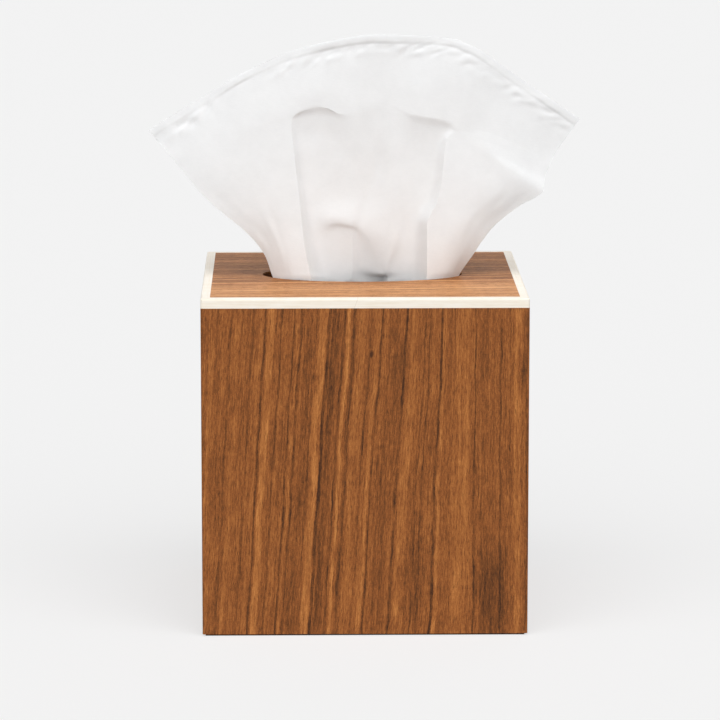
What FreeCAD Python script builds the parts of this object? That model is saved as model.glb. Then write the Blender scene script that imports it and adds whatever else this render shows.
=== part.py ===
"""Lift-off cover for a cube carton of tissues: veneered board walls, an oval slot and bone edging round the top.

Lengths are in millimetres.  X runs to the right, Y runs away from the front and Z runs up from the table.
"""
import FreeCAD
import Part
import Sketcher
import math
import os

SIZES = {
    # Cover: the outside of the box and what its walls are built up from
    "cover_width": 140.0,
    "cover_depth": 140.0,
    "cover_height": 147.0,
    "core_thickness": 9.0,
    "veneer_thickness": 0.6,
    "arris_round": 1.0,
    # Edging let into the top edge, and the slanted seam between two strips of it
    "trim_width": 4.0,
    "trim_height": 4.2,
    "trim_round": 0.9,
    "seam_offset": 3.9,
    "seam_run": 1.6,
    # Oval slot in the top
    "slot_length": 88.0,
    "slot_width": 46.0,
    "band_thickness": 0.6,
    # Glue blocks in the inner corners and felt under the walls
    "block_leg": 8.0,
    "block_rise": 12.0,
    "felt_width": 7.0,
    "felt_thickness": 0.8,
    # Carton inside the cover, with the gap left round it and above it
    "side_gap": 5.4,
    "head_gap": 10.4,
    "board_thickness": 0.6,
    "fold_round": 1.0,
    "mouth_length": 76.0,
    "mouth_width": 40.0,
    # Folded tissues in the carton
    "stack_height": 62.0,
    "stack_gap": 2.0,
    "stack_round": 5.0,
    # Tissue that stands in the slot
    "tissue_thickness": 0.6,
    "tissue_clearance": 0.5,
    "fan_span": 190.0,
    "fan_rise": 106.0,
    "pleat_depth": 8.0,
    "pleat_ease": 1.2,
}

# The sides of the cover: turn about Z in degrees, outward normal, sizes along and across the side, and the names
# of its two edging strips
SIDES = {
    "front": (0, (0, -1), "cover_width", "cover_depth", ("front_trim_left", "front_trim_right")),
    "right": (90, (1, 0), "cover_depth", "cover_width", ("right_trim_front", "right_trim_back")),
    "back": (180, (0, 1), "cover_width", "cover_depth", ("back_trim_right", "back_trim_left")),
    "left": (270, (-1, 0), "cover_depth", "cover_width", ("left_trim_back", "left_trim_front")),
}

# Folds of the tissue from its left edge to its right edge.  The first row shares out the half length of the slot
# and the next rows share out half the span of the fan; a pleat share of 1 lies a full pleat depth behind.
RIM_SHARES = (-0.93, -0.74, -0.53, -0.50, -0.30, 0.02, 0.30, 0.57, 0.64, 0.80, 0.97)
RIM_PLEAT_SHARES = (0.0, 0.04, 0.0, 1.25, 1.35, 1.5, 1.1, 1.2, 0.0, 0.05, 0.0)
# Rows of the fan, which leans back on the way up: share of the rise, share of the half slot width that the front
# stands forward, folds and pleats
FAN_ROW_SHARES = (
    (0.32, 0.604, (-0.84, -0.53, -0.275, -0.265, -0.137, 0.0, 0.142, 0.328, 0.337, 0.6, 0.96),
     (0.5, 0.34, 0.0, 0.92, 0.78, 0.45, 0.48, 0.97, 0.0, 0.25, 0.96)),
    (0.55, 0.41, (-1.03, -0.61, -0.312, -0.303, -0.147, -0.007, 0.158, 0.405, 0.416, 0.59, 0.97),
     (0.82, 0.4, 0.06, 0.62, 0.52, 0.38, 0.33, 0.55, 0.0, 0.08, 1.0)),
    (0.7, 0.302, (-1.1, -0.65, -0.332, -0.253, -0.147, -0.016, 0.19, 0.37, 0.453, 0.63, 1.05),
     (1.22, 0.58, 0.16, 0.14, 0.1, 0.22, 0.14, 0.02, 0.0, 0.41, 1.34)),
    (1.05, 0.005, (-1.18, -0.74, -0.38, -0.284, -0.18, 0.01, 0.2, 0.38, 0.505, 0.76, 1.16),
     (1.18, 0.74, 0.3, 0.19, 0.11, 0.02, 0.0, 0.01, 0.05, 0.61, 1.36)),
)
# Rows of the tail: shares of the mouth's half length and half width, from the carton's top down to the stack
MOUTH_ROW_SHARES = (1.0, 0.95)
TAIL_ROW_SHARES = (0.85, 0.8)
# Outline of the fan seen from the front, clockwise from the left end of the slot: a point to pass through, or None
# for a straight run, and the point where the run ends.  Shares of half the span and of the rise.
OUTLINE_SHARES = (
    ((-0.551, 0.18), (-0.732, 0.325)),
    (None, (-1.0, 0.605)),
    (None, (-0.513, 0.881)),
    ((0.01, 1.0), (0.453, 0.972)),
    ((0.548, 0.933), (0.638, 0.876)),
    (None, (1.0, 0.645)),
    ((0.883, 0.511), (0.838, 0.354)),
    (None, (0.636, 0.207)),
    ((0.541, 0.11), (0.482, 0.0)),
)
OUTLINE_START_SHARES = (-0.443, 0.0)

doc = FreeCAD.newDocument("tissue_box_cover")
sheet = doc.addObject("Spreadsheet::Sheet", "Sizes")
for row, (alias, size) in enumerate(SIZES.items(), start=1):
    sheet.set(f"A{row}", alias)
    sheet.set(f"B{row}", str(size))
    sheet.setAlias(f"B{row}", alias)
doc.recompute()

# Heights and insets that several pieces share, as expressions on the sheet
WALL = "(Sizes.core_thickness + Sizes.veneer_thickness)"
CORE_TOP = "(Sizes.cover_height - Sizes.veneer_thickness)"
CEILING = f"({CORE_TOP} - Sizes.core_thickness)"
TRIM_BOTTOM = "(Sizes.cover_height - Sizes.trim_height)"
CARTON_WIDTH = f"(Sizes.cover_width - 2 * {WALL} - 2 * Sizes.side_gap)"
CARTON_DEPTH = f"(Sizes.cover_depth - 2 * {WALL} - 2 * Sizes.side_gap)"
CARTON_HEIGHT = f"({CEILING} - Sizes.head_gap)"

nodes = []


def read(alias):
    """A size from the sheet, as a number."""
    return float(sheet.get(alias))


def bind(thing, expressions):
    for path, expression in expressions.items():
        thing.setExpression(path, expression)


def add_node(thing, label):
    """Keeps a finished piece under the name of its file."""
    thing.Label = label
    nodes.append(thing)
    return thing


def combine(kind, name, base, tool):
    result = doc.addObject(kind, name)
    result.Base = base
    result.Tool = tool
    return result


def place_on_side(thing, side, inset, tilt=FreeCAD.Rotation()):
    """Stands a piece on one side of the cover, its own -Y facing out and its Y = 0 plane set in by the inset."""
    turn, normal, _, across, _ = SIDES[side]
    spin = FreeCAD.Rotation(FreeCAD.Vector(0, 0, 1), turn)
    thing.Placement = FreeCAD.Placement(FreeCAD.Vector(), spin.multiply(tilt))
    reach = f"(Sizes.{across} / 2 - ({inset}))"
    bind(thing, {
        ".Placement.Base.x": f"{normal[0]} * {reach}",
        ".Placement.Base.y": f"{normal[1]} * {reach}",
    })


def add_mitred_bar(name, side, inset, thickness, bottom, top):
    """A bar along one side of the cover, cut at 45 degrees where it meets its neighbours."""
    along = SIDES[side][2]
    outer = f"(Sizes.{along} / 2 - ({inset}))"
    inner = f"({outer} - {thickness})"
    bar = doc.addObject("Part::Wedge", name)
    bind(bar, {
        "Xmin": f"-{outer}", "Xmax": outer, "X2min": f"-{inner}", "X2max": inner,
        "Ymin": "0", "Ymax": thickness,
        "Zmin": bottom, "Zmax": top, "Z2min": bottom, "Z2max": top,
    })
    place_on_side(bar, side, inset)
    return bar


def add_rectangle(sketch, width, depth):
    """A rectangle centred on the sketch's origin."""
    first = sketch.GeometryCount
    corners = [FreeCAD.Vector(x, y, 0) for x, y in ((-1, -1), (1, -1), (1, 1), (-1, 1))]
    for index in range(4):
        sketch.addGeometry(Part.LineSegment(corners[index], corners[(index + 1) % 4]), False)
    for index in range(4):
        sketch.addConstraint(Sketcher.Constraint("Coincident", first + index, 2, first + (index + 1) % 4, 1))
    for index, direction in enumerate(("Horizontal", "Vertical", "Horizontal", "Vertical")):
        sketch.addConstraint(Sketcher.Constraint(direction, first + index))
    sketch.addConstraint(Sketcher.Constraint("Symmetric", first, 1, first + 1, 2, -1, 1))
    across = sketch.addConstraint(Sketcher.Constraint("DistanceX", first, 1, first, 2, 2.0))
    along = sketch.addConstraint(Sketcher.Constraint("DistanceY", first + 1, 1, first + 1, 2, 2.0))
    bind(sketch, {f"Constraints[{across}]": width, f"Constraints[{along}]": depth})


def add_oval(sketch, length, width):
    """An ellipse centred on the sketch's origin, its long axis along X."""
    oval = sketch.addGeometry(Part.Ellipse(FreeCAD.Vector(), 2.0, 1.0), False)
    sketch.exposeInternalGeometry(oval)
    long_axis = oval + 1
    short_axis = oval + 2
    sketch.addConstraint(Sketcher.Constraint("Coincident", oval, 3, -1, 1))
    sketch.addConstraint(Sketcher.Constraint("Horizontal", long_axis))
    across = sketch.addConstraint(Sketcher.Constraint("Distance", long_axis, 1, long_axis, 2, 4.0))
    along = sketch.addConstraint(Sketcher.Constraint("Distance", short_axis, 1, short_axis, 2, 2.0))
    bind(sketch, {f"Constraints[{across}]": length, f"Constraints[{along}]": width})


def add_plate(body, name, bottom, thickness, shapes):
    """A level pad; each shape is a function that draws an outline and the two sizes it takes."""
    plane = next(item for item in body.Origin.OriginFeatures if item.Role == "XY_Plane")
    sketch = body.newObject("Sketcher::SketchObject", f"{name}_sketch")
    sketch.AttachmentSupport = [(plane, "")]
    sketch.MapMode = "FlatFace"
    sketch.setExpression(".AttachmentOffset.Base.z", bottom)
    for draw, first_size, second_size in shapes:
        draw(sketch, first_size, second_size)
    pad = body.newObject("PartDesign::Pad", f"{name}_pad")
    pad.Profile = sketch
    pad.setExpression("Length", thickness)
    doc.recompute()
    return pad


def add_rounding(body, base, name, radius, chosen):
    """Rounds the edges of the base feature for which the chosen test holds."""
    edges = [f"Edge{number}" for number, edge in enumerate(base.Shape.Edges, start=1) if chosen(edge)]
    rounding = body.newObject("PartDesign::Fillet", name)
    rounding.Base = (base, edges)
    rounding.setExpression("Radius", radius)
    doc.recompute()
    return rounding


def is_upright(edge):
    box = edge.BoundBox
    return box.ZLength > max(box.XLength, box.YLength) and len(edge.Vertexes) == 2


def lies_at(edge, height):
    box = edge.BoundBox
    return math.isclose(box.ZMin, height, abs_tol=1e-4) and math.isclose(box.ZMax, height, abs_tol=1e-4)


# Outer form of the cover with its arrises eased; the veneers and the edging are cut to it
outer_form = doc.addObject("PartDesign::Body", "outer_form")
outer_pad = add_plate(outer_form, "outer_form", "0", "Sizes.cover_height",
                      [(add_rectangle, "Sizes.cover_width", "Sizes.cover_depth")])
outer_eased = add_rounding(outer_form, outer_pad, "arris", "Sizes.arris_round", is_upright)
add_rounding(outer_form, outer_eased, "top_arris", "Sizes.trim_round",
             lambda edge: lies_at(edge, read("cover_height")))

# Walls: board cores with mitred corners, and a veneer over each that also covers the edge of the top
for side in SIDES:
    wall = add_mitred_bar(f"{side}_wall", side, "Sizes.veneer_thickness", "Sizes.core_thickness",
                          "Sizes.felt_thickness", CEILING)
    add_node(wall, f"{side}_wall")
    sheet_blank = add_mitred_bar(f"{side}_veneer_blank", side, "0", "Sizes.veneer_thickness",
                                 "Sizes.felt_thickness", TRIM_BOTTOM)
    add_node(combine("Part::Common", f"{side}_veneer", sheet_blank, outer_form), f"{side}_veneer")

# Top: a board core with a rebate for the edging, its veneer, and the band that lines the slot
BAND_LENGTH = "Sizes.slot_length + 2 * Sizes.band_thickness"
BAND_WIDTH = "Sizes.slot_width + 2 * Sizes.band_thickness"
FIELD_WIDTH = "Sizes.cover_width - 2 * Sizes.trim_width"
FIELD_DEPTH = "Sizes.cover_depth - 2 * Sizes.trim_width"
top_panel = doc.addObject("PartDesign::Body", "top_panel")
add_plate(top_panel, "top_panel", CEILING, f"{TRIM_BOTTOM} - {CEILING}", [
    (add_rectangle, "Sizes.cover_width - 2 * Sizes.veneer_thickness",
     "Sizes.cover_depth - 2 * Sizes.veneer_thickness"),
    (add_oval, BAND_LENGTH, BAND_WIDTH),
])
add_plate(top_panel, "top_field", TRIM_BOTTOM, f"{CORE_TOP} - {TRIM_BOTTOM}",
          [(add_rectangle, FIELD_WIDTH, FIELD_DEPTH), (add_oval, BAND_LENGTH, BAND_WIDTH)])
add_node(top_panel, "top_panel")

top_veneer = doc.addObject("PartDesign::Body", "top_veneer")
add_plate(top_veneer, "top_veneer", CORE_TOP, "Sizes.veneer_thickness",
          [(add_rectangle, FIELD_WIDTH, FIELD_DEPTH), (add_oval, "Sizes.slot_length", "Sizes.slot_width")])
add_node(top_veneer, "top_veneer")

slot_band = doc.addObject("PartDesign::Body", "slot_band")
add_plate(slot_band, "slot_band", CEILING, f"{CORE_TOP} - {CEILING}",
          [(add_oval, BAND_LENGTH, BAND_WIDTH), (add_oval, "Sizes.slot_length", "Sizes.slot_width")])
add_node(slot_band, "slot_band")

# Edging: one mitred bar to a side, cut into two strips at a slanted seam
for side, (_, _, along, _, strip_names) in SIDES.items():
    bar = add_mitred_bar(f"{side}_trim_blank", side, "0", "Sizes.trim_width", TRIM_BOTTOM, "Sizes.cover_height")
    eased_bar = combine("Part::Common", f"{side}_trim_eased", bar, outer_form)
    seam = doc.addObject("Part::Wedge", f"{side}_seam")
    bind(seam, {
        "Xmin": f"-Sizes.{along}", "X2min": f"-Sizes.{along}",
        "Xmax": "-Sizes.seam_offset - Sizes.seam_run / 2", "X2max": "-Sizes.seam_offset + Sizes.seam_run / 2",
        "Ymin": TRIM_BOTTOM, "Ymax": "Sizes.cover_height",
        "Zmin": "-2 * Sizes.trim_width", "Zmax": "Sizes.trim_width",
        "Z2min": "-2 * Sizes.trim_width", "Z2max": "Sizes.trim_width",
    })
    place_on_side(seam, side, "0", FreeCAD.Rotation(FreeCAD.Vector(1, 0, 0), 90))
    first_strip, second_strip = strip_names
    add_node(combine("Part::Common", first_strip, eased_bar, seam), first_strip)
    add_node(combine("Part::Cut", second_strip, eased_bar, seam), second_strip)

# Glue blocks in the inner corners, turned a quarter from one corner to the next
for name, turn, sign_x, sign_y in (("block_front_left", 0, -1, -1), ("block_front_right", 90, 1, -1),
                                   ("block_back_right", 180, 1, 1), ("block_back_left", 270, -1, 1)):
    block = doc.addObject("Part::Wedge", name)
    block.Placement.Rotation = FreeCAD.Rotation(FreeCAD.Vector(0, 0, 1), turn)
    bind(block, {
        "Xmin": "0", "Xmax": "Sizes.block_leg", "X2min": "0", "X2max": "0",
        "Ymin": "0", "Ymax": "Sizes.block_leg",
        "Zmin": "Sizes.block_rise", "Zmax": CEILING, "Z2min": "Sizes.block_rise", "Z2max": CEILING,
        ".Placement.Base.x": f"{sign_x} * (Sizes.cover_width / 2 - {WALL})",
        ".Placement.Base.y": f"{sign_y} * (Sizes.cover_depth / 2 - {WALL})",
    })
    add_node(block, name)

# Felt strips, centred under the walls
for side in SIDES:
    felt = add_mitred_bar(f"{side}_felt", side, f"({WALL} - Sizes.felt_width) / 2", "Sizes.felt_width",
                          "0", "Sizes.felt_thickness")
    add_node(felt, f"{side}_felt")

# Carton: bottom, sides and a top with the oval mouth, folded from one sheet of board
BOARD_WIDTH = f"{CARTON_WIDTH} - 2 * Sizes.board_thickness"
BOARD_DEPTH = f"{CARTON_DEPTH} - 2 * Sizes.board_thickness"
carton = doc.addObject("PartDesign::Body", "carton")
carton_face = (add_rectangle, CARTON_WIDTH, CARTON_DEPTH)
add_plate(carton, "carton_bottom", "0", "Sizes.board_thickness", [carton_face])
add_plate(carton, "carton_sides", "Sizes.board_thickness", f"{CARTON_HEIGHT} - 2 * Sizes.board_thickness",
          [carton_face, (add_rectangle, BOARD_WIDTH, BOARD_DEPTH)])
carton_top = add_plate(carton, "carton_top", f"{CARTON_HEIGHT} - Sizes.board_thickness", "Sizes.board_thickness",
                       [carton_face, (add_oval, "Sizes.mouth_length", "Sizes.mouth_width")])
carton_reach = read("cover_width") / 2 - read("core_thickness") - read("veneer_thickness") - read("side_gap")
add_rounding(carton, carton_top, "carton_fold", "Sizes.fold_round",
             lambda edge: is_upright(edge) and math.isclose(abs(edge.BoundBox.Center.x), carton_reach))
add_node(carton, "carton")

# Folded tissues left in the carton, rounded along the top where they are folded
tissue_stack = doc.addObject("PartDesign::Body", "tissue_stack")
stack_pad = add_plate(tissue_stack, "tissue_stack", "Sizes.board_thickness", "Sizes.stack_height", [
    (add_rectangle, f"{BOARD_WIDTH} - 2 * Sizes.stack_gap", f"{BOARD_DEPTH} - 2 * Sizes.stack_gap"),
])
stack_top = read("board_thickness") + read("stack_height")
add_rounding(tissue_stack, stack_pad, "stack_fold", "Sizes.stack_round", lambda edge: lies_at(edge, stack_top))
add_node(tissue_stack, "tissue_stack")


# Standing tissue: a pleated band lofted from the stack up through the slot, cut to the outline of the fan
def draw_band(path, height):
    """A closed wire at one height, half the tissue's thickness to either side of a path with eased corners."""
    half = read("tissue_thickness") / 2
    ease = read("pleat_ease")
    spots = [FreeCAD.Vector(x, y, height) for x, y in path]
    runs = [(after - before).normalize() for before, after in zip(spots, spots[1:])]
    lefts = [FreeCAD.Vector(-run.y, run.x, 0) for run in runs]

    def draw_side(sign):
        edges = []
        here = spots[0] + lefts[0] * sign * half
        for corner, before, after, left, next_left in zip(spots[1:], runs, runs[1:], lefts, lefts[1:]):
            turn = math.atan2(before.cross(after).z, before.dot(after))
            slope = math.tan(abs(turn) / 2)
            radius = ease / slope - sign * math.copysign(half, turn)
            point = corner + (left + next_left) * (sign * half / (1 + left.dot(next_left)))
            inward = (after - before).normalize()
            first = point - before * radius * slope
            middle = point + inward * radius * (1 / math.cos(turn / 2) - 1)
            last = point + after * radius * slope
            edges.append(Part.makeLine(here, first))
            edges.append(Part.Arc(first, middle, last).toShape())
            here = last
        end = spots[-1] + lefts[-1] * sign * half
        edges.append(Part.makeLine(here, end))
        return edges, spots[0] + lefts[0] * sign * half, end

    left_edges, left_start, left_end = draw_side(1)
    right_edges, right_start, right_end = draw_side(-1)
    caps = [Part.makeLine(left_end, right_end), Part.makeLine(right_start, left_start)]
    return Part.Wire(left_edges + caps[:1] + right_edges[::-1] + caps[1:])


def draw_rim_row(half_length, half_width):
    """The path of the tissue along the front of an oval opening."""
    pleat = read("pleat_depth")
    return [(share * half_length, pleat_share * pleat - half_width * math.sqrt(1 - share ** 2))
            for share, pleat_share in zip(RIM_SHARES, RIM_PLEAT_SHARES)]


def draw_tissue():
    inset = read("tissue_clearance") + read("tissue_thickness") / 2
    half_span = read("fan_span") / 2
    rise = read("fan_rise")
    top = read("cover_height")
    ceiling = top - read("veneer_thickness") - read("core_thickness")
    mouth = (read("mouth_length") / 2 - inset, read("mouth_width") / 2 - inset)
    slot = (read("slot_length") / 2 - inset, read("slot_width") / 2 - inset)
    tail_end = read("board_thickness") + read("stack_height") + read("tissue_clearance")
    rows = [draw_band(draw_rim_row(mouth[0] * TAIL_ROW_SHARES[0], mouth[1] * TAIL_ROW_SHARES[1]), tail_end)]
    rows.append(draw_band(draw_rim_row(mouth[0] * MOUTH_ROW_SHARES[0], mouth[1] * MOUTH_ROW_SHARES[1]),
                          ceiling - read("head_gap")))
    rows.append(draw_band(draw_rim_row(*slot), ceiling))
    rows.append(draw_band(draw_rim_row(*slot), top))
    for rise_share, front_share, fold_shares, pleat_shares in FAN_ROW_SHARES:
        path = [(fold_share * half_span, pleat_share * read("pleat_depth") - front_share * slot[1])
                for fold_share, pleat_share in zip(fold_shares, pleat_shares)]
        rows.append(draw_band(path, top + rise_share * rise))
    band = Part.makeLoft(rows, True, True)

    front = -read("cover_depth") / 2

    def spot(shares):
        return FreeCAD.Vector(shares[0] * half_span, front, top + shares[1] * rise)

    start = spot(OUTLINE_START_SHARES)
    edges = []
    here = start
    for via_shares, end_shares in OUTLINE_SHARES:
        end = spot(end_shares)
        straight = Part.makeLine(here, end)
        edges.append(Part.Arc(here, spot(via_shares), end).toShape() if via_shares else straight)
        here = end
    right_foot = FreeCAD.Vector(here.x, front, 0)
    left_foot = FreeCAD.Vector(start.x, front, 0)
    edges += [Part.makeLine(here, right_foot), Part.makeLine(right_foot, left_foot), Part.makeLine(left_foot, start)]
    outline = Part.Face(Part.Wire(edges)).extrude(FreeCAD.Vector(0, read("cover_depth"), 0))
    return band.common(outline)


tissue = doc.addObject("Part::Feature", "tissue")
tissue.Shape = draw_tissue()
add_node(tissue, "tissue")

doc.recompute()
for thing in doc.Objects:
    if "Invalid" in thing.State or "Error" in thing.State:
        raise RuntimeError(f"{thing.Label} did not rebuild: {thing.State}")
os.makedirs("parts", exist_ok=True)
for node in nodes:
    if node.Shape.isNull() or not node.Shape.isValid():
        raise RuntimeError(f"{node.Label} has no sound shape")
    if len(node.Shape.Solids) != 1:
        raise RuntimeError(f"{node.Label} is {len(node.Shape.Solids)} solids")
    node.Shape.exportStep(f"parts/{node.Label}.step")
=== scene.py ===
"""Looks of the tissue box cover: veneer, bone edging, felt, carton board and the standing tissue."""
import math

import bpy
import numpy as np
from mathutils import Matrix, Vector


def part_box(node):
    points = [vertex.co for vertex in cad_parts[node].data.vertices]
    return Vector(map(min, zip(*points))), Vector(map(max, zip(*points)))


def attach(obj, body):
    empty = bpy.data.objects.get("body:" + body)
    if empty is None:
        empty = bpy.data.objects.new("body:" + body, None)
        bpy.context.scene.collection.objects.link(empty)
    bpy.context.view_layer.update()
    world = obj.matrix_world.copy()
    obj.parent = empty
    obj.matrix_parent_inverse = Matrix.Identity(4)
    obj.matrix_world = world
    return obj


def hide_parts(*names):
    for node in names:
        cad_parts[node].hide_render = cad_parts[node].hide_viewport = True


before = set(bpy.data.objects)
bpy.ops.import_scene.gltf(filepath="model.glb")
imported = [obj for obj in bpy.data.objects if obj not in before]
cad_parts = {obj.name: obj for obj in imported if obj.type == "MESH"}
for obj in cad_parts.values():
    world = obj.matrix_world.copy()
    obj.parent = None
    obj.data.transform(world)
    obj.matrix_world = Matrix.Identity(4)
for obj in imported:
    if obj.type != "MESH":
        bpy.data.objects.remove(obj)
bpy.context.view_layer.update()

MM = 0.001
ACROSS, DEEP, UP = range(3)

# Camera of the photograph, fitted to the corners of the cover
CAMERA_PLACE_MM = (-31.3, -1710.4, 405.9)
CAMERA_PITCH_DEG = 9.867
CAMERA_YAW_DEG = -1.015
CAMERA_FOCAL_PX = 3913.8
CAMERA_FAR_M = 100.0
FRAME_PX = 720
SENSOR_MM = 36.0

COVER_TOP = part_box("top_veneer")[1].z
COVER_HALF_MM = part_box("front_veneer")[1].x / MM

# Sockets of a node that mixes two colours: its factor and the colours, and its result
MIX_INPUTS = (0, 6, 7)
MIX_RESULT = 2
# The mean of a noise, and the range that holds most of it
NOISE_MEAN = 0.5
NOISE_SPREAD = (0.3, 0.7)


class Graph:
    """A material and short calls that add nodes to it."""

    def __init__(self, name, **constants):
        self.material = bpy.data.materials.new(name)
        self.material.use_nodes = True
        tree = self.material.node_tree
        self.nodes = tree.nodes
        self.links = tree.links
        self.shader = self.nodes["Principled BSDF"]
        for socket, value in constants.items():
            self.feed(self.shader.inputs[socket.replace("_", " ")], value)

    def feed(self, socket, value):
        """Links an output to a socket, or sets the socket's own value."""
        if isinstance(value, bpy.types.NodeSocket):
            self.links.new(value, socket)
        else:
            socket.default_value = value

    def add(self, kind, inputs=(), **settings):
        """A new node with its settings and inputs."""
        item = self.nodes.new(kind)
        for key, value in settings.items():
            setattr(item, key, value)
        for key, value in dict(inputs).items():
            self.feed(item.inputs[key], value)
        return item

    def math(self, operation, first, second=0.0, third=0.0):
        """The result of an operation on up to three values."""
        item = self.add("ShaderNodeMath", {0: first, 1: second, 2: third}, operation=operation)
        return item.outputs[0]

    def axes(self):
        """The three coordinates of a point of the piece, in millimetres."""
        place = self.add("ShaderNodeTexCoord").outputs["Object"]
        split = self.add("ShaderNodeSeparateXYZ", {0: place})
        return [self.math("MULTIPLY", split.outputs[axis], 1 / MM) for axis in "XYZ"]

    def noise(self, x, y, z=0.0, detail=2.0, roughness=0.5):
        """Noise with one cell to a unit of the coordinates."""
        point = self.add("ShaderNodeCombineXYZ", {0: x, 1: y, 2: z}).outputs[0]
        item = self.add("ShaderNodeTexNoise", {
            "Vector": point, "Scale": 1.0, "Detail": detail, "Roughness": roughness,
        })
        return item.outputs[0]

    def mottle(self, axes, scales, *seed, **settings):
        """Noise over the piece; the scales are its cells to a millimetre along each axis."""
        scaled = [self.math("MULTIPLY", axis, scale) for axis, scale in zip(axes, scales)]
        return self.noise(*scaled, *seed, **settings)

    def stray(self, base, noise, reach):
        """A base value moved up and down by a noise."""
        return self.math("MULTIPLY_ADD", self.math("SUBTRACT", noise, NOISE_MEAN), reach, base)

    def range(self, value, low, high, to_low=0.0, to_high=1.0, smooth=False):
        """A value taken from one range to another, and held at its ends."""
        item = self.add("ShaderNodeMapRange", {
            "Value": value, "From Min": low, "From Max": high, "To Min": to_low, "To Max": to_high,
        }, interpolation_type="SMOOTHSTEP" if smooth else "LINEAR")
        return item.outputs[0]

    def ramp(self, factor, stops):
        """A colour ramp; each stop is a place and a linear colour."""
        item = self.add("ShaderNodeValToRGB", {0: factor})
        elements = item.color_ramp.elements
        while len(elements) < len(stops):
            elements.new(0.5)
        for element, (place, colour) in zip(elements, stops):
            element.position = place
            element.color = (*colour, 1.0)
        return item.outputs[0]

    def mix(self, factor, first, second):
        """A colour between two others."""
        item = self.add("ShaderNodeMix", data_type="RGBA")
        for socket, value in zip(MIX_INPUTS, (factor, first, second)):
            self.feed(item.inputs[socket], value)
        return item.outputs[MIX_RESULT]

    def bump(self, height, distance_mm, strength):
        """Fine relief of the surface."""
        item = self.add("ShaderNodeBump", {
            "Height": height, "Distance": distance_mm * MM, "Strength": strength,
        })
        self.feed(self.shader.inputs["Normal"], item.outputs[0])

    def paint(self, colour, roughness):
        """The finished material with its colour and roughness."""
        self.feed(self.shader.inputs["Base Color"], colour)
        self.feed(self.shader.inputs["Roughness"], roughness)
        return self.material

    def blend(self, share, other):
        """Mixes a share of another shader into the material."""
        item = self.add("ShaderNodeMixShader", {0: share, 1: self.shader.outputs[0], 2: other.outputs[0]})
        self.links.new(item.outputs[0], self.nodes["Material Output"].inputs["Surface"])


def dress(names, material):
    """Gives CAD nodes a material of their own."""
    for name in names:
        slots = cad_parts[name].data.materials
        slots.clear()
        slots.append(material)


# Tones of the materials, from dark to light; colours are linear
WALL_TONES = (
    (0.0, (0.052, 0.019, 0.007)),
    (0.25, (0.144, 0.049, 0.013)),
    (0.5, (0.270, 0.087, 0.022)),
    (0.75, (0.412, 0.149, 0.038)),
    (1.0, (0.556, 0.219, 0.059)),
)
TOP_TONES = (
    (0.0, (0.205, 0.080, 0.027)),
    (0.35, (0.440, 0.190, 0.074)),
    (0.6, (0.625, 0.308, 0.138)),
    (1.0, (0.760, 0.425, 0.215)),
)
BONE_TONES = ((0.25, (0.90, 0.81, 0.68)), (0.5, (0.95, 0.875, 0.765)), (0.8, (0.97, 0.915, 0.83)))
BONE_DARK_COLOUR = (0.48, 0.34, 0.22, 1.0)
FIBREBOARD_TONES = ((0.3, (0.20, 0.125, 0.075)), (0.5, (0.30, 0.20, 0.125)), (0.75, (0.40, 0.285, 0.18)))
SOFTWOOD_TONES = ((0.3, (0.42, 0.25, 0.12)), (0.5, (0.60, 0.42, 0.24)), (0.7, (0.68, 0.52, 0.33)))
FELT_TONES = ((0.3, (0.022, 0.016, 0.013)), (0.7, (0.075, 0.052, 0.042)))
CARTON_TONES = ((0.3, (0.70, 0.69, 0.66)), (0.7, (0.82, 0.81, 0.79)))
PAPER_TONES = ((0.3, (0.878, 0.882, 0.886)), (0.7, (0.908, 0.912, 0.916)))
# Painted shade in the gaps between the plies of the stack
PLY_GAP_SHADE_COLOUR = (0.66, 0.655, 0.645, 1.0)
# The share of light that the standing sheet lets through, and that of the fibres in a paper's relief
PAPER_GLOW_SHARE = 0.12
FIBRE_RELIEF_SHARE = 0.6
# Plies of the stack: how many to a millimetre, how far they sway, in plies, and the share of a ply that its
# edge takes up, with the painted shade of the gap between plies
PLIES_PER_MM = 1.1
PLY_SWAY = 0.5
PLY_EDGE_AND_SHADE_SHARE = 0.3

# Painted shade on the top's leaf, for the shadow that the standing tissue casts over the back of the top:
# the leaf turns darker between these distances from its front edge, in millimetres, by this much
TOP_PAINTED_SHADE = (28.0, 60.0, 0.34)
# Streaks of the leaf on the front, at mid-height: distance from its left edge and width in millimetres,
# and strength, golden above zero and dark below.  The last one, along the front's right edge, is painted
# shade of that rounded edge
FRONT_STREAKS_MM = (
    (1.5, 2.0, 0.10), (9.0, 1.2, -0.14), (12.0, 2.4, 0.14), (18.0, 1.4, -0.12), (21.4, 2.2, 0.10),
    (23.2, 0.9, -0.34), (25.8, 3.0, 0.30), (30.3, 0.8, -0.20), (35.6, 0.8, -0.28), (37.1, 1.4, 0.16),
    (38.6, 0.9, -0.26), (42.0, 3.4, -0.10), (44.9, 1.0, -0.18), (47.7, 3.4, 0.26), (50.3, 1.3, -0.40),
    (53.2, 3.6, -0.14), (56.4, 1.0, -0.30), (58.3, 1.3, 0.34), (60.7, 1.6, -0.22), (64.5, 4.4, 0.12),
    (67.6, 0.8, -0.14), (70.7, 1.8, 0.20), (72.4, 0.8, -0.28), (78.0, 5.0, -0.08), (83.3, 1.1, -0.32),
    (87.0, 4.0, 0.14), (92.3, 0.7, -0.18), (94.6, 0.7, -0.22), (100.1, 1.1, -0.36), (101.5, 1.4, 0.22),
    (110.5, 7.0, 0.14), (116.2, 0.8, -0.28), (120.5, 3.0, -0.10), (127.2, 1.0, -0.20),
    # The streak at 138.6 millimetres is painted shade along the front's rounded right edge
    (134.6, 3.2, 0.18), (138.6, 1.0, -0.24),
)
# A streak is full up to the first share of its width from its middle, and ends at the second
STREAK_FADE_SHARES = (0.3, 0.62)
# Streaks come and go: width and length in millimetres and seed of that noise, then its range and the
# streaks' strength at its ends
STREAK_BREAKS = (3.0, 16.0, 43.0)
STREAK_BREAK_RANGE = (-0.25, 0.2, 0.25, 1.25)
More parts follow.
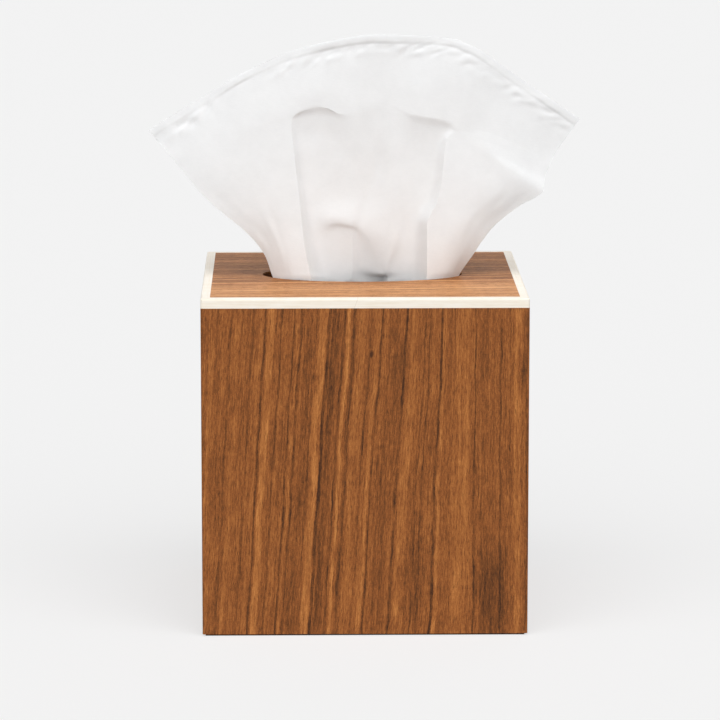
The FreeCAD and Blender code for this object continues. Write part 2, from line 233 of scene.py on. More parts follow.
# Dark clouds and flecks of that leaf: place from its left edge and bottom, half width and half height in
# millimetres, strength
FRONT_CLOUDS_MM = (
    (92.0, 30.0, 7.0, 26.0, -0.14), (124.5, 18.0, 9.0, 30.0, -0.20), (82.0, 112.0, 4.5, 24.0, -0.12),
    (53.0, 118.0, 3.0, 26.0, -0.12), (136.5, 114.0, 2.4, 12.0, -0.20), (68.6, 123.0, 1.0, 2.2, -0.55),
    (46.0, 113.0, 2.0, 2.0, -0.20),
)
CLOUD_FADE_SHARES = (0.3, 1.1)
# Fibres laid over one another: width and length in millimetres, strength and seed
FIBRES = (
    (12.0, 30.0, 0.14, 5.0),
    (5.0, 16.0, 0.16, 7.0),
    (2.6, 110.0, 0.22, 11.0),
    (1.1, 50.0, 0.42, 23.0),
    (0.62, 8.0, 0.66, 29.0),
    (0.42, 2.2, 0.60, 31.0),
    (0.34, 0.6, 0.40, 37.0),
)
# Pores: width and length in millimetres and seed of their noise, its range, and how strong and how dark
# they are
PORES = (0.42, 5.0, 53.0)
PORE_RANGE = (0.12, 0.21)
PORE_STRENGTH = 0.55
PORE_DARK_SHARE = 0.3
# The grain leans up to this share to the right on the way up, and stands straight near the right edge
GRAIN_LEAN_SHARE = 0.064
GRAIN_STRAIGHT_MM = (78.0, 126.0)
# Ways in which the grain strays: cells to a millimetre across and along, seed, detail, and reach in
# millimetres
GRAIN_WANDERS = (
    ((0.02, 0.012), 0.0, 1.5, 3.0),
    ((0.09, 0.05), 3.1, 1.0, 1.4),
    ((0.8, 0.45), 5.3, 1.0, 0.5),
)
# The tone of plain veneer, roughness over a range of its tones, and the share of the tones in its relief
MIDDLE_TONE = 0.5
VENEER_ROUGHNESS_RANGE = (0.2, 1.2, 0.42, 0.56)
VENEER_RELIEF_SHARE = 0.25


def lay_streaks(graph, place):
    """The strength of the leaf's streaks at a place across it."""
    strength_sum = 0.0
    for middle, width, strength in FRONT_STREAKS_MM:
        away = graph.math("ABSOLUTE", graph.math("SUBTRACT", place, middle))
        full, end = (share * width for share in STREAK_FADE_SHARES)
        streak = graph.range(away, full, end, strength, 0.0, smooth=True)
        strength_sum = graph.math("ADD", strength_sum, streak)
    return strength_sum


def lay_clouds(graph, tone, place, height, contrast):
    """A tone with the leaf's clouds and flecks laid over it."""
    for middle, middle_height, half_width, half_height, strength in FRONT_CLOUDS_MM:
        away = graph.math("DIVIDE", graph.math("SUBTRACT", place, middle), half_width)
        above = graph.math("DIVIDE", graph.math("SUBTRACT", height, middle_height), half_height)
        square = graph.math("MULTIPLY_ADD", away, away, graph.math("MULTIPLY", above, above))
        reach = graph.math("SQRT", square)
        cloud = graph.range(reach, *CLOUD_FADE_SHARES, strength * contrast, 0.0, smooth=True)
        tone = graph.math("ADD", tone, cloud)
    return tone


def make_veneer(name, across, along, tones, seed, shift=0.0, mirror=1.0, lift=0.0, contrast=1.0, gloss=0.2,
                painted_shade=None):
    """Straight-grained veneer.

    across and along are axes of the piece.  Leaves cut one after another share their main streaks: shift, in
    millimetres, and mirror say how this leaf lies.  painted_shade says between which places across it the
    leaf is darkened with painted shade, and how much.
    """
    graph = Graph(name, IOR=1.45, Specular_IOR_Level=gloss)
    axes = graph.axes()
    run = axes[along]
    side = graph.math("MULTIPLY_ADD", axes[across], mirror, COVER_HALF_MM + shift)
    rise = graph.math("SUBTRACT", run, COVER_TOP / MM / 2 if along == UP else 0.0)
    lean = graph.range(side, *GRAIN_STRAIGHT_MM, GRAIN_LEAN_SHARE, 0.0, smooth=True)
    place = graph.math("SUBTRACT", side, graph.math("MULTIPLY", rise, lean))
    for scales, offset, detail, reach in GRAIN_WANDERS:
        wander = graph.mottle((side, run), scales, seed + offset, detail=detail)
        place = graph.stray(place, wander, reach)

    def layer(width, length, offset):
        """Streaks of a width and a length in millimetres, about zero."""
        value = graph.noise(graph.math("DIVIDE", place, width), graph.math("DIVIDE", run, length),
                            seed + offset, detail=1.0)
        return graph.math("SUBTRACT", value, NOISE_MEAN)

    presence = graph.range(layer(*STREAK_BREAKS), *STREAK_BREAK_RANGE)
    streaks = graph.math("MULTIPLY", lay_streaks(graph, place), presence)
    tone = graph.math("MULTIPLY_ADD", streaks, contrast, MIDDLE_TONE + lift)
    if along == UP:
        tone = lay_clouds(graph, tone, place, run, contrast)
    # Painted shade: the leaf turns darker across it between two places
    if painted_shade:
        begin, full, depth = painted_shade
        tone = graph.math("ADD", tone, graph.range(place, begin, full, 0.0, -depth, smooth=True))
    for width, length, strength, offset in FIBRES:
        tone = graph.math("MULTIPLY_ADD", layer(width, length, offset), strength * contrast, tone)

    pore = graph.range(layer(*PORES), *PORE_RANGE, 0.0, PORE_STRENGTH * contrast)
    _, base_colour = tones[1]
    pore_colour = (*(value * PORE_DARK_SHARE for value in base_colour), 1.0)
    colour = graph.mix(pore, graph.ramp(tone, tones), pore_colour)
    relief = graph.math("SUBTRACT", graph.math("MULTIPLY", tone, VENEER_RELIEF_SHARE), pore)
    graph.bump(relief, distance_mm=0.05, strength=0.5)
    return graph.paint(colour, graph.range(graph.math("ADD", tone, pore), *VENEER_ROUGHNESS_RANGE))


# The two strips of edging on each side, and which corner of the first one's box lies at the seam
TRIM_STRIPS = {
    "front": ("left", "right", 1),
    "right": ("front", "back", 1),
    "back": ("right", "left", 0),
    "left": ("back", "front", 0),
}
TRIM_SEEDS = (1.0, 9.0)
# Glue line at a seam: half of its dark middle and of its whole width, in millimetres, and strength
GLUE_LINE = (0.05, 0.22, 0.24)


def make_bone(name, along, seed, seam):
    """Polished bone: cream with faint long streaks and a few pores.

    seam gives the heights where the slanted glue line begins and ends, and its places along the strip there,
    in millimetres.
    """
    graph = Graph(name, IOR=1.54, Specular_IOR_Level=0.1)
    axes = graph.axes()
    run = axes[along]
    side = axes[DEEP if along == ACROSS else ACROSS]
    height = axes[UP]

    def grain(run_scale, cross_scale, detail):
        """Noise drawn out along the strip; the scales are cells to a millimetre."""
        return graph.noise(graph.math("MULTIPLY", run, run_scale), graph.math("MULTIPLY", side, cross_scale),
                           graph.math("MULTIPLY_ADD", height, cross_scale, seed), detail=detail)

    streak = grain(run_scale=0.05, cross_scale=1.6, detail=3.0)
    patch = graph.mottle((run, height), (0.12, 0.3), seed + 5.0)
    colour = graph.ramp(graph.stray(streak, patch, reach=0.7), BONE_TONES)
    pore = graph.range(grain(run_scale=0.9, cross_scale=4.0, detail=1.0), 0.74, 0.82, to_high=0.02)
    colour = graph.mix(pore, colour, BONE_DARK_COLOUR)
    away = graph.math("ABSOLUTE", graph.math("SUBTRACT", run, graph.range(height, *seam)))
    glue = graph.range(away, *GLUE_LINE, 0.0, smooth=True)
    colour = graph.mix(glue, colour, BONE_DARK_COLOUR)
    graph.bump(streak, distance_mm=0.004, strength=0.2)
    return graph.paint(colour, graph.range(streak, *NOISE_SPREAD, to_low=0.36, to_high=0.48))


def make_fibreboard():
    """Brown board with fine specks."""
    graph = Graph("fibreboard", IOR=1.45)
    axes = graph.axes()
    speck = graph.mottle(axes, (1.7, 1.7, 1.7), detail=3.0, roughness=0.7)
    cloud = graph.mottle(axes, (0.06, 0.06, 0.06))
    colour = graph.ramp(graph.stray(speck, cloud, reach=0.6), FIBREBOARD_TONES)
    graph.bump(speck, distance_mm=0.08, strength=0.5)
    return graph.paint(colour, graph.range(speck, *NOISE_SPREAD, to_low=0.62, to_high=0.82))


def make_softwood():
    """Pale wood with upright grain."""
    graph = Graph("softwood", IOR=1.45)
    axes = graph.axes()
    ring = graph.mottle(axes, (0.5, 0.5, 0.012))
    grain = graph.mottle(axes, (2.4, 2.4, 0.05))
    colour = graph.ramp(graph.stray(ring, grain, reach=0.5), SOFTWOOD_TONES)
    graph.bump(grain, distance_mm=0.06, strength=0.4)
    return graph.paint(colour, graph.range(grain, *NOISE_SPREAD, to_low=0.6, to_high=0.75))


def make_felt():
    """Dark brown felt."""
    graph = Graph("felt", IOR=1.4, Sheen_Weight=0.4, Sheen_Roughness=0.5)
    tuft = graph.mottle(graph.axes(), (1.5, 1.5, 1.5), detail=4.0, roughness=0.75)
    graph.bump(tuft, distance_mm=0.3, strength=0.8)
    return graph.paint(graph.ramp(tuft, FELT_TONES), roughness=0.95)


def make_carton_board():
    """White carton board with faint fibres."""
    graph = Graph("carton_board", IOR=1.45)
    axes = graph.axes()
    fibre = graph.mottle(axes, (0.8, 0.8, 0.8), detail=4.0, roughness=0.7)
    cloud = graph.mottle(axes, (0.03, 0.03, 0.03))
    colour = graph.ramp(graph.stray(fibre, cloud, reach=0.5), CARTON_TONES)
    graph.bump(fibre, distance_mm=0.04, strength=0.4)
    return graph.paint(colour, graph.range(fibre, *NOISE_SPREAD, to_low=0.45, to_high=0.6))


def make_tissue_paper(name, plies=False, glow_share=0.0):
    """Soft white paper with a fine crepe.

    plies adds the edges of many folded sheets, one above the other, with painted shade in the gaps between
    them, and a glow share lets light through a single sheet.
    """
    graph = Graph(name, IOR=1.3, Specular_IOR_Level=0.1)
    axes = graph.axes()
    crepe = graph.mottle(axes, (0.55, 0.55, 1.9), detail=3.0, roughness=0.65)
    fibre = graph.mottle(axes, (0.16, 0.16, 0.16), detail=4.0, roughness=0.7)
    colour = graph.ramp(graph.stray(fibre, crepe, reach=0.5), PAPER_TONES)
    height = graph.math("MULTIPLY_ADD", fibre, FIBRE_RELIEF_SHARE, crepe)
    if plies:
        layers = graph.math("MULTIPLY", axes[UP], PLIES_PER_MM)
        step = graph.math("FRACT", graph.math("MULTIPLY_ADD", fibre, PLY_SWAY, layers))
        # edge is the relief of each ply's edge and also the painted shade of the gap, darkest at each ply's
        # lower side
        edge = graph.range(step, low=0.0, high=PLY_EDGE_AND_SHADE_SHARE)
        colour = graph.mix(edge, PLY_GAP_SHADE_COLOUR, colour)
        height = graph.math("ADD", height, edge)
    graph.bump(height, distance_mm=0.12, strength=0.35)
    if glow_share:
        graph.blend(glow_share, graph.add("ShaderNodeBsdfTranslucent", {"Color": colour}))
    return graph.paint(colour, roughness=0.92)


# Standing tissue.  Places across and up are those that the camera sees on an upright plane at this depth;
# the sheet leans back from the slot, and each point keeps its line of sight.
SIGHT_PLANE_MM = -15.0
FAN_LEAN_SHARE = 0.17
# Rows of the fan, as shares of the way from the cover up to the hem
ROW_SHARES = (0.0, 0.045, 0.15, 0.24, 0.34, 0.45, 0.55, 0.64, 0.70, 0.725, 0.74, 0.80, 0.87, 0.95, 1.0)
# Folds from the left edge to the right edge: how sharp a crease is and up to what height, the height of the
# hem and, for each row, the place across, the depth before the sheet leans and, where a fold leaves the row,
# how far above it.  In millimetres.
FOLDS_MM = {
    "left edge": (0.0, 0.0, 65.7, (
        (-38.9, -10.2), (-40.0, -10.6), (-42.4, -11.6), (-46.2, -12.4), (-52.6, -13.2), (-61.4, -13.8),
        (-68.8, -14.0), (-74.0, -14.0), (-77.2, -13.9), (-78.6, -13.8), (-79.4, -13.7), (-82.4, -13.3),
        (-86.0, -12.6), (-90.6, -11.4), (-93.4, -10.6),
    )),
    "left flap": (0.0, 0.0, 89.5, (
        (-30.5, -16.1), (-31.5, -16.3), (-34.0, -16.4), (-36.8, -16.5), (-40.5, -16.7), (-44.2, -16.9),
        (-46.8, -17.1), (-48.6, -17.2), (-49.6, -17.2), (-50.0, -17.2), (-50.2, -17.2), (-51.2, -17.0),
        (-52.4, -16.5), (-53.8, -15.8), (-54.6, -15.5),
    )),
    "left crease": (0.97, 72.0, 99.3, (
        (-22.4, -19.3), (-23.4, -19.15), (-25.2, -18.6), (-26.2, -18.1), (-27.4, -17.8), (-28.6, -17.7),
        (-29.7, -17.7), (-30.7, -17.8), (-31.0, -17.9), (-31.0, -17.95, -0.8), (-31.2, -18.0, -1.6),
        (-32.2, -17.8), (-33.0, -17.3), (-33.6, -16.8), (-34.0, -16.6),
    )),
    "left valley": (0.0, 0.0, 101.3, (
        (-16.4, -9.0), (-17.8, -10.0), (-20.4, -11.4), (-22.1, -12.4), (-24.0, -13.2), (-25.6, -14.0),
        (-27.0, -14.8), (-28.2, -15.6), (-28.0, -16.6), (-26.6, -17.9, 0.4), (-26.0, -18.05, -0.4),
        (-25.2, -18.4), (-26.0, -18.2), (-26.5, -17.5), (-27.0, -17.3),
    )),
    "centre left": (0.0, 0.0, 103.4, (
        (-9.0, -8.6), (-9.4, -9.6), (-11.6, -12.4, 6.4), (-12.2, -14.1, 1.4), (-13.0, -13.3),
        (-13.2, -14.0), (-13.8, -14.7), (-16.0, -15.5), (-16.0, -16.6), (-17.6, -17.95, 1.3),
        (-18.4, -18.1, 0.3), (-17.0, -18.5), (-17.0, -18.2), (-18.0, -17.7), (-19.0, -17.7),
    )),
    "tent left": (0.9, 22.0, 105.5, (
        (-4.6, -8.6), (-4.5, -9.9), (-4.2, -12.9, 4.6), (-4.4, -14.3, -0.8), (-5.5, -13.6),
        (-6.0, -14.3), (-6.4, -15.4, -1.4), (-6.4, -16.5, -4.0), (-6.2, -17.2, -6.0),
        (-6.2, -17.4, -7.0), (-6.2, -17.45, -8.3), (-7.0, -18.0, -3.0), (-8.5, -17.8), (-9.2, -17.6),
        (-9.0, -17.9),
    )),
    "tent": (0.5, 20.0, 107.2, (
        (-1.2, -6.0), (-1.6, -8.4, 1.2), (-2.2, -11.7, 3.2), (-2.6, -13.7, -1.0), (-1.5, -13.6),
        (0.2, -14.3), (-0.2, -15.4), (-0.6, -16.3), (-0.8, -16.9), (-0.8, -17.1), (-0.8, -17.2),
        (-0.8, -17.4), (-0.4, -17.5), (0.5, -17.6), (1.0, -18.0),
    )),
    "tent right": (0.8, 20.0, 107.1, (
        (9.4, -7.2), (8.6, -10.4, -1.8), (3.0, -12.7), (-0.4, -13.6), (3.5, -13.5), (6.0, -14.2),
        (7.0, -15.4), (7.4, -16.3), (7.7, -16.9), (8.0, -17.05), (8.1, -17.1), (8.6, -17.3),
        (9.0, -17.4), (9.6, -17.7), (10.0, -18.0),
    )),
    "centre ridge": (0.6, 66.0, 106.7, (
        (10.8, -9.0), (10.6, -11.2), (13.9, -13.6), (13.5, -14.3), (13.5, -14.9), (13.9, -15.4),
        (14.4, -16.3), (15.8, -16.9, -1.6), (17.8, -17.4, -3.9), (18.6, -17.5, -5.0),
        (18.8, -17.6, -6.1), (18.6, -17.8, -1.0), (20.0, -17.7), (22.6, -17.7), (24.5, -18.0),
    )),
    "right valley": (0.0, 0.0, 105.4, (
        (16.0, -8.8), (16.2, -9.8), (17.4, -11.6), (18.0, -12.6), (20.0, -13.4), (21.7, -14.2),
        (22.5, -15.0, -0.5), (22.8, -15.6, -4.4), (22.8, -16.6, -5.8), (22.8, -17.95, -4.7),
        (22.8, -18.1, -5.8), (26.0, -18.8, -0.8), (31.0, -18.9), (37.0, -18.8), (40.5, -18.7),
    )),
    "right step": (0.0, 0.0, 103.6, (
        (22.6, -9.8), (23.0, -10.8), (23.6, -12.0), (24.3, -12.8), (28.8, -13.4), (31.1, -14.1, -0.2),
        (32.3, -14.8, -2.0), (34.2, -15.7, -4.8), (36.6, -16.8, -6.2), (38.2, -18.0, -6.2),
        (38.8, -18.2, -7.1), (38.0, -18.8, -1.6), (39.0, -19.0), (42.0, -18.9), (44.0, -18.8),
    )),
    "right crease": (0.97, 64.0, 101.2, (
        (28.1, -17.3), (28.1, -17.8), (28.1, -18.3), (28.2, -18.4), (32.5, -18.3), (34.6, -18.2),
        (35.5, -18.2), (36.8, -18.2, -2.5), (39.6, -18.2, -6.2), (40.6, -18.2, -8.0),
        (41.2, -18.25, -8.9), (43.8, -18.8, -2.4), (45.6, -19.1), (48.4, -19.0), (50.0, -18.6),
    )),
    "right flap": (0.5, 90.0, 87.0, (
        (36.0, -12.6), (37.2, -14.0), (40.0, -15.4), (43.5, -16.1), (49.0, -16.6), (60.0, -16.8),
        (62.0, -17.1), (56.0, -17.5), (54.0, -17.3), (54.4, -17.1), (55.0, -16.9), (59.0, -16.3),
        (62.5, -15.6), (67.5, -14.8), (70.0, -14.2),
    )),
    "right edge": (0.0, 0.0, 70.2, (
        (41.6, -6.8), (43.2, -8.2), (48.3, -10.8), (52.4, -12.2), (58.2, -12.9), (67.8, -13.6),
        (78.8, -14.2), (79.6, -12.6), (81.2, -11.8), (82.0, -11.4), (82.4, -11.2), (84.6, -10.4),
        (88.0, -9.8), (92.0, -9.3), (94.6, -9.0),
    )),
}
# Rows below the cover's top: height in millimetres, the slot row's places scaled across, and the depth of
# the gathers
TAIL_ROWS = ((-83.5, 1.0, 34.0), (-50.0, 0.95, 28.0), (-21.0, 0.8, 14.0), (-9.6, 0.93, 7.0))
TAIL_GATHER_SHARES = (0, 1, 0, 1, 0, 1, 0, 1, 0, 1, 0, 0, 1, 0)
# Columns of points from each fold to the next, and rows from each row to the next
SPAN_STEPS = (30, 30, 12, 14, 9, 9, 11, 9, 10, 10, 12, 24, 26)
ROW_STEPS = 11
# How often the sheet is smoothed, how many columns to either side a crease keeps sharp, and over what height
# a crease fades out
SOFTEN_PASSES = 24
CREASE_REACH_COLUMNS = 1.2
CREASE_FADE_MM = 6.0
# Creases from this hold on are hard edges, and so is the top of the two hollows between these folds, at this
# row
HARD_HOLD = 0.9
HOLLOW_FOLDS = ((2, 5), (8, 11))
HOLLOW_ROW_SHARE = 0.74
TISSUE_THICKNESS_MM = 0.1
# Hem: its band, the step in which its second layer ends, its thickness and how far it is rolled
HEM_BAND_MM = 3.6
HEM_STEP_MM = 0.5
HEM_THICKNESS_MM = 0.3
HEM_ROLL_MM = 0.3
# Height, distance below the hem and width of the groove under it and of the band of crimps
GROOVE_MM = (-0.06, 0.5, 1.1)
CRIMP_BAND_MM = (0.9, 2.6, 3.0)
# A crimp's length along the hem, its slant and its depth down the sheet
CRIMP_CELL_MM = (3.0, 5.0, 2.8)
CRIMP_SEED = 3
# Where the hem is firm and where crimps lie: length of such patches in millimetres and seed, and the mean,
# the reach and the least of their share
FIRM_PATCHES = (15, 2, 0.5, 0.9, 0.05)
CRIMP_PATCHES = (13, 4, 0.4, 1.0, 0.0)
PATCH_DEPTH_MM = 50
# Soft waves: height, length along the hem and depth down the sheet in millimetres, and seed
WAVES = ((0.6, 16, 75, 5), (0.16, 9, 11, 7))
# Waves begin this far above the sheet's lower end and are full at twice as far
WAVE_START_MM = 60


def soft_noise(u, v, seed):
    """Smooth noise from -1 to 1 with one cell to a unit, from a seeded lattice."""
    u = u - u.min()
    v = v - v.min()
    lattice = np.random.RandomState(seed).uniform(-1, 1, (int(u.max()) + 3, int(v.max()) + 3))
    i, j = u.astype(int), v.astype(int)
    s, t = u - i, v - j
    s, t = s * s * (3 - 2 * s), t * t * (3 - 2 * t)
    low = lattice[i, j] * (1 - s) + lattice[i + 1, j] * s
    high = lattice[i, j + 1] * (1 - s) + lattice[i + 1, j + 1] * s
    return low * (1 - t) + high * t


def thread(points, steps):
    """Points of a smooth curve through the rows of an array, along its first axis."""
    moves = np.diff(points, axis=0)
    limit = 2 * np.minimum(np.abs(moves[:-1]), np.abs(moves[1:]))
    inner = np.clip((moves[:-1] + moves[1:]) / 2, -limit, limit) * (moves[:-1] * moves[1:] > 0)
    slopes = np.concatenate([moves[:1], inner, moves[-1:]])
    pieces = []
    for first, last, slope, next_slope in zip(points, points[1:], slopes, slopes[1:]):
        for t in np.arange(steps) / steps:
            pieces.append((2 * t ** 3 - 3 * t ** 2 + 1) * first + (t ** 3 - 2 * t ** 2 + t) * slope
                          + (3 * t ** 2 - 2 * t ** 3) * last + (t ** 3 - t ** 2) * next_slope)
    return np.array(pieces + [points[-1]])


def soften(grid, hold, passes):
    """Smooths a grid of points across the folds; hold is 1 where a crease stays sharp."""
    free = (1 - hold)[:, 1:-1, None] / 2
    for _ in range(passes):
        middle = (grid[:, :-2] + grid[:, 2:]) / 2
        grid[:, 1:-1] += free * (middle - grid[:, 1:-1])
    return grid


def grid_normals(grid):
    """Unit normals of the sheet at its points, towards the front."""
    normals = np.cross(np.gradient(grid, axis=1), np.gradient(grid, axis=0))
    return normals / np.linalg.norm(normals, axis=2, keepdims=True)


def along_sight(x, depth, height):
    """The point at a depth that the camera sees in line with a place on the sight plane."""
    camera = np.array(CAMERA_PLACE_MM) - (0, 0, COVER_TOP / MM)
    reach = (depth - camera[1]) / (SIGHT_PLANE_MM - camera[1])
    return camera + (np.array((x, SIGHT_PLANE_MM, height)) - camera) * reach


def place_folds():
    """The points of the folds, row by row, in millimetres over the cover's top."""
    rows = []
    for height, across, gather in TAIL_ROWS:
        row = []
        for (*_, path), share in zip(FOLDS_MM.values(), TAIL_GATHER_SHARES):
            x, y = path[0]
            row.append((x * across, y * across + share * gather, height))
        rows.append(row)
    for index, share in enumerate(ROW_SHARES):
        row = []
        for *_, hem_height, path in FOLDS_MM.values():
            x, y, *lift = path[index]
            height = share * hem_height + sum(lift)
            row.append(along_sight(x, y + FAN_LEAN_SHARE * height, height))
        rows.append(row)
    return np.array(rows)


def shape_tissue():
    """The sheet as a grid of points in millimetres over the cover's top, and which lie on a hard edge.

    Rows go up and columns go to the right.
    """
    net = thread(place_folds(), ROW_STEPS)
    last_span = len(SPAN_STEPS)
    spans = [first + np.arange(steps) / steps for first, steps in enumerate(SPAN_STEPS)]
    spans = np.concatenate(spans + [[last_span]])
    left = np.minimum(spans.astype(int), last_span - 1)
    blend = (spans - left)[None, :, None]
    grid = net[:, left] * (1 - blend) + net[:, left + 1] * blend

    starts = np.concatenate([[0], np.cumsum(SPAN_STEPS)])
    heights = grid[:, :, 2]
    hold = np.zeros(heights.shape)
    hard = np.zeros(heights.shape, bool)
    for column, (grip, grip_height, _, _) in zip(starts, FOLDS_MM.values()):
        reach = grip * np.exp(-((np.arange(len(spans)) - column) / CREASE_REACH_COLUMNS) ** 2)
        fade = np.clip((grip_height - heights) / CREASE_FADE_MM + 0.5, 0, 1)
        hold = np.maximum(hold, reach * fade)
        if grip >= HARD_HOLD:
            hard[:, column] = heights[:, column] < grip_height
    hollow_row = (len(TAIL_ROWS) + ROW_SHARES.index(HOLLOW_ROW_SHARE)) * ROW_STEPS
    for first, last in HOLLOW_FOLDS:
        hard[hollow_row, starts[first]:starts[last] + 1] = True
    return soften(grid, hold, SOFTEN_PASSES), hard


def measure_hem(grid):
    """How far each point of the sheet lies below the hem's edge, and how far along it, in millimetres."""
    steps = np.linalg.norm(np.diff(grid, axis=0), axis=2)
    below = np.flip(np.cumsum(np.flip(steps, 0), 0), 0)
    below = np.vstack([below, np.zeros((1, grid.shape[1]))])
    along = np.cumsum(np.linalg.norm(np.diff(grid[-1], axis=0), axis=1))
    return below, np.broadcast_to(np.concatenate([[0], along]), below.shape)


def crimp_tissue(grid, below, along):
    """Rolls the hem and adds the crimps under it and the soft waves of limp paper."""

    def ridge(height, distance, width):
        """A soft ridge along the hem."""
        return height * np.exp(-((below - HEM_BAND_MM - distance) / width) ** 2)

    def patches(length, seed, mean, reach, least):
        """Shares that come and go along the hem."""
        return np.clip(mean + reach * soft_noise(along / length, below / PATCH_DEPTH_MM, seed), least, 1)

    roll = HEM_ROLL_MM * np.sqrt(np.clip(1 - (below / (HEM_BAND_MM / 2) - 1) ** 2, 0, 1))
    hem = (roll + ridge(*GROOVE_MM)) * patches(*FIRM_PATCHES)
    length, slant, depth = CRIMP_CELL_MM
    crimp = ridge(*CRIMP_BAND_MM) * soft_noise(along / length + below / slant, below / depth, CRIMP_SEED)
    crimp *= patches(*CRIMP_PATCHES)
    wave = 0.0
    for height, length, depth, seed in WAVES:
        wave = wave + height * soft_noise(along / length, below / depth, seed)
    wave *= np.clip((below.max() - below) / WAVE_START_MM - 1, 0, 1)
    return grid + grid_normals(grid) * (hem + crimp + wave)[:, :, None]


def make_grid_mesh(name, grid, hard):
    """A smooth mesh over a grid of points, with hard edges between its hard points and along its rim."""
    rows, columns = grid.shape[:2]
    index = np.arange(rows * columns).reshape(rows, columns)
    corners = [index[:-1, :-1], index[:-1, 1:], index[1:, 1:], index[1:, :-1]]
    quads = np.stack(corners, axis=-1).reshape(-1, 4)
    mesh = bpy.data.meshes.new(name)
    mesh.from_pydata(grid.reshape(-1, 3).tolist(), [], quads.tolist())
    mesh.polygons.foreach_set("use_smooth", [True] * len(mesh.polygons))
    on_rim = np.ones((rows, columns), bool)
    on_rim[1:-1, 1:-1] = False
    for edge in mesh.edges:
        ends = list(edge.vertices)
        edge.use_edge_sharp = bool(on_rim.ravel()[ends].all() or hard.ravel()[ends].all())
    piece = bpy.data.objects.new(name, mesh)
    bpy.context.collection.objects.link(piece)
    return piece


def make_tissue():
    """The standing tissue as one sheet, with a second layer along its hem."""
    grid, hard = shape_tissue()
    below, along = measure_hem(grid)
    place = crimp_tissue(grid, below, along) * MM
    place[:, :, 2] += COVER_TOP
    piece = make_grid_mesh("standing_tissue", place, hard)
    hem = piece.vertex_groups.new(name="hem")
    for vertex, depth in enumerate(below.ravel()):
        if depth < HEM_BAND_MM:
            hem.add([vertex], min(1.0, (HEM_BAND_MM - depth) / HEM_STEP_MM), "REPLACE")
    plies = piece.modifiers.new("plies", "SOLIDIFY")
    plies.thickness = HEM_THICKNESS_MM * MM
    plies.thickness_vertex_group = TISSUE_THICKNESS_MM / HEM_THICKNESS_MM
    plies.vertex_group = "hem"
    plies.offset = 0.0
    even = piece.modifiers.new("even_shade", "WEIGHTED_NORMAL")
    even.mode = "FACE_AREA"
    even.keep_sharp = True
    piece.data.materials.append(make_tissue_paper("standing_paper", glow_share=PAPER_GLOW_SHARE))
    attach(piece, "tissue")
    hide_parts("tissue")


def dress_trim():
    """Gives each strip of the edging bone of its own, with a glue line where two strips meet."""
    for side, (first, second, corner) in TRIM_STRIPS.items():
        along = ACROSS if side in ("front", "back") else DEEP
        first_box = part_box(f"{side}_trim_{first}")
        second_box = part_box(f"{side}_trim_{second}")
        heights = [end.z / MM for end in first_box]
        places = (second_box[1 - corner][along] / MM, first_box[corner][along] / MM)
        for strip, seed in zip((first, second), TRIM_SEEDS):
            bone = make_bone(f"{side}_bone_{strip}", along, seed, (*heights, *places))
            dress([f"{side}_trim_{strip}"], bone)


def dress_cover():
    """Gives the cover's pieces their materials; each seed makes a leaf of its own."""
    wall = {
        "front": make_veneer("front_grain", ACROSS, UP, WALL_TONES, seed=2.0),
        "back": make_veneer("back_grain", ACROSS, UP, WALL_TONES, seed=61.0, mirror=-1.0),
        "left": make_veneer("left_grain", DEEP, UP, WALL_TONES, seed=133.0, shift=22.0, mirror=-1.0),
        "right": make_veneer("right_grain", DEEP, UP, WALL_TONES, seed=207.0, shift=-31.0),
    }
    felt = make_felt()
    fibreboard = make_fibreboard()
    for side, material in wall.items():
        dress([f"{side}_veneer"], material)
        dress([f"{side}_felt"], felt)
        dress([f"{side}_wall"], fibreboard)
    dress(["top_panel"], fibreboard)
    # The top's leaf carries painted shade towards its back, where the standing tissue shades it
    top_leaf = make_veneer("top_grain", DEEP, ACROSS, TOP_TONES, seed=310.0, lift=0.06, contrast=1.2,
                           gloss=0.02, painted_shade=TOP_PAINTED_SHADE)
    dress(["top_veneer"], top_leaf)
    dress(["slot_band"], make_veneer("band_grain", UP, ACROSS, WALL_TONES, seed=377.0, lift=-0.2))
    dress_trim()
    dress([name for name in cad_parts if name.startswith("block_")], make_softwood())


WHITE = (1.0, 1.0, 1.0, 1.0)
FLOOR_COLOUR = (0.45, 0.45, 0.45, 1.0)
FLOOR_SEEN_COLOUR = (0.74, 0.74, 0.74, 1.0)
BACKDROP_COLOUR = (0.887, 0.887, 0.887, 1.0)
# What the camera sees of the floor: this share of white, and the rest is the floor with the object's shadow
FLOOR_GLOW_SHARE = 0.6
FLOOR_REACH_M = 30.0
WORLD_STRENGTH = 0.2
# Lamps: turn about the object and height over the horizon in degrees, strength and spread in degrees
SUNS = (
    ("front", 0, 50, 1.62, 80),
    ("left", -38, 44, 0.8, 60),
    ("right", 38, 44, 0.88, 60),
    ("back", 170, 22, 0.2, 60),
)


def seen_directly(nodes):
    """A socket that is 1 for rays from the camera, also by way of a gloss or a clear piece."""
    links = nodes.id_data.links
    path = nodes.new("ShaderNodeLightPath")
    socket = path.outputs["Is Camera Ray"]
    for kind in ("Is Glossy Ray", "Is Transmission Ray"):
        either = nodes.new("ShaderNodeMath")
        either.operation = "MAXIMUM"
        links.new(socket, either.inputs[0])
        links.new(path.outputs[kind], either.inputs[1])
        socket = either.outputs[0]
    return socket


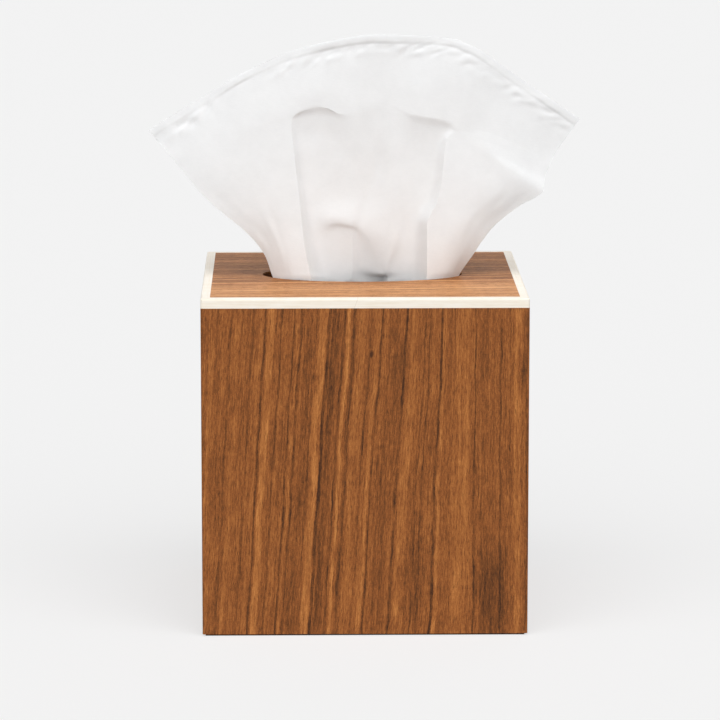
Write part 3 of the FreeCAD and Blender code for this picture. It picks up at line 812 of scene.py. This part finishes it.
def make_floor():
    """A pale floor that keeps a soft shadow of the object."""
    signs = ((-1, -1), (1, -1), (1, 1), (-1, 1))
    corners = [(x * FLOOR_REACH_M, y * FLOOR_REACH_M, 0) for x, y in signs]
    mesh = bpy.data.meshes.new("floor")
    mesh.from_pydata(corners, [], [(0, 1, 2, 3)])
    floor = bpy.data.objects.new("floor", mesh)
    bpy.context.collection.objects.link(floor)
    graph = Graph("floor", Specular_IOR_Level=0.0)
    seen = seen_directly(graph.nodes)
    glow = graph.add("ShaderNodeEmission", {"Color": WHITE, "Strength": 1.0})
    graph.blend(graph.math("MULTIPLY", seen, FLOOR_GLOW_SHARE), glow)
    floor.data.materials.append(graph.paint(graph.mix(seen, FLOOR_COLOUR, FLOOR_SEEN_COLOUR), roughness=0.9))


def set_light():
    """Even studio light: a white surround, three broad lamps in front and a weak one behind."""
    world = bpy.data.worlds.new("studio")
    bpy.context.scene.world = world
    world.use_nodes = True
    nodes = world.node_tree.nodes
    links = world.node_tree.links
    surround = nodes["Background"]
    surround.inputs["Color"].default_value = WHITE
    surround.inputs["Strength"].default_value = WORLD_STRENGTH
    backdrop = nodes.new("ShaderNodeBackground")
    backdrop.inputs["Color"].default_value = BACKDROP_COLOUR
    blend = nodes.new("ShaderNodeMixShader")
    links.new(seen_directly(nodes), blend.inputs[0])
    links.new(surround.outputs[0], blend.inputs[1])
    links.new(backdrop.outputs[0], blend.inputs[2])
    links.new(blend.outputs[0], nodes["World Output"].inputs["Surface"])
    for name, turn, height, strength, spread in SUNS:
        lamp = bpy.data.lights.new(name, "SUN")
        lamp.energy = strength
        lamp.angle = math.radians(spread)
        holder = bpy.data.objects.new(name, lamp)
        holder.rotation_euler = (math.radians(90 - height), 0, math.radians(turn))
        bpy.context.collection.objects.link(holder)


def set_camera():
    """The camera of the photograph."""
    camera = bpy.data.cameras.new("camera")
    camera.sensor_width = SENSOR_MM
    camera.lens = CAMERA_FOCAL_PX / FRAME_PX * SENSOR_MM
    camera.clip_end = CAMERA_FAR_M
    view = bpy.data.objects.new("camera", camera)
    view.location = [value * MM for value in CAMERA_PLACE_MM]
    view.rotation_euler = (math.radians(90 - CAMERA_PITCH_DEG), 0, math.radians(CAMERA_YAW_DEG))
    bpy.context.collection.objects.link(view)
    bpy.context.scene.camera = view


dress_cover()
dress(["carton"], make_carton_board())
dress(["tissue_stack"], make_tissue_paper("stack_paper", plies=True))
make_tissue()
make_floor()
set_light()
set_camera()
bpy.context.scene.view_settings.view_transform = "Standard"
